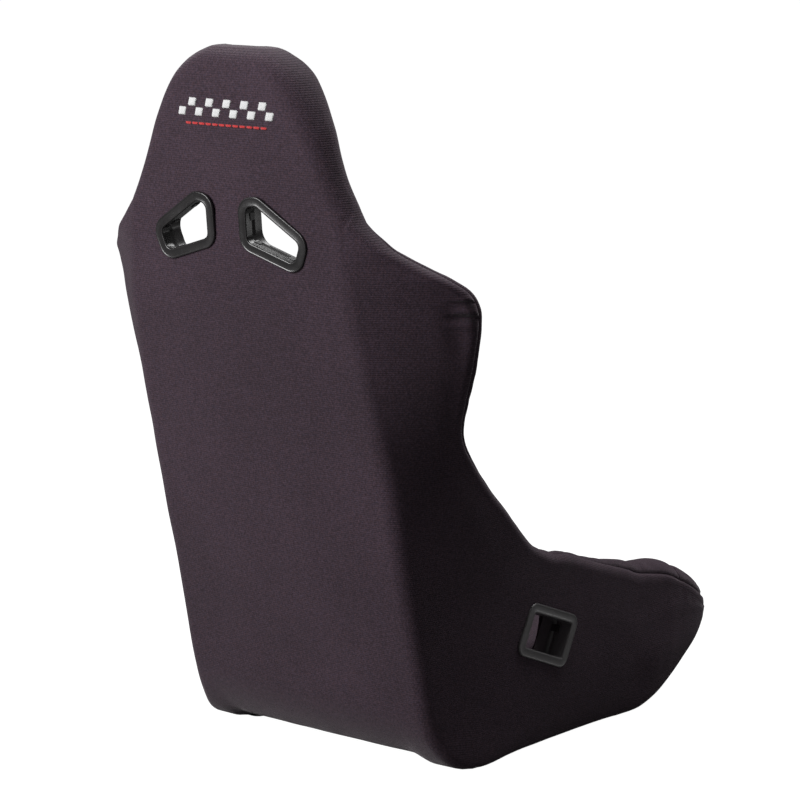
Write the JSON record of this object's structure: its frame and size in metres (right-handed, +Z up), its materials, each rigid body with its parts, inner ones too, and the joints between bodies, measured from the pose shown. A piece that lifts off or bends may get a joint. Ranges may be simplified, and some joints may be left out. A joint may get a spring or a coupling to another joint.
{
  "type": "fixed-back bucket seat",
  "caption": "Fixed-back bucket seat with a moulded shell, thin padding, a stretched knit cover, belt slots at the shoulders and hips, and bolted feet.",
  "frame": {"origin": "centre of the four foot bolts, on the plane the feet stand on", "axes": "+Z up, the occupant faces -Y, X across the seat; the occupant's right is -X"},
  "size_m": [0.5668, 0.7384, 0.89],
  "materials": {
    "cover_fabric": "fine ribbed knit, soft sheen",
    "pad_fabric": "knit over foam",
    "shell_gelcoat": "black moulded glass-fibre",
    "foot_plastic": "satin black",
    "insert_steel": "zinc plated",
    "plate_steel": "plain",
    "bezel_plastic": "satin gloss",
    "hem_webbing": "plain webbing",
    "staple_steel": "galvanised wire"
  },
  "bodies": {
    "root": {"shell": "shell_gelcoat", "mount_feet": "foot_plastic", "mount_inserts": "insert_steel", "insert_plates": "plate_steel", "rear_cover": "cover_fabric", "hem_strip": "hem_webbing", "hem_staples": "staple_steel", "head_pad": "pad_fabric", "back_pad": "pad_fabric", "lumbar_pad": "pad_fabric", "back_bolster_left": "pad_fabric", "back_bolster_right": "pad_fabric", "seat_cushion": "pad_fabric", "thigh_bolster_left": "pad_fabric", "thigh_bolster_right": "pad_fabric", "front_roll": "pad_fabric", "shoulder_bezel_rear_left": "bezel_plastic", "shoulder_bezel_rear_right": "bezel_plastic", "shoulder_bezel_front_left": "bezel_plastic", "shoulder_bezel_front_right": "bezel_plastic", "lap_bezel_outer_left": "bezel_plastic", "lap_bezel_outer_right": "bezel_plastic", "lap_bezel_inner_left": "bezel_plastic", "lap_bezel_inner_right": "bezel_plastic"}
  },
  "joints": []
}
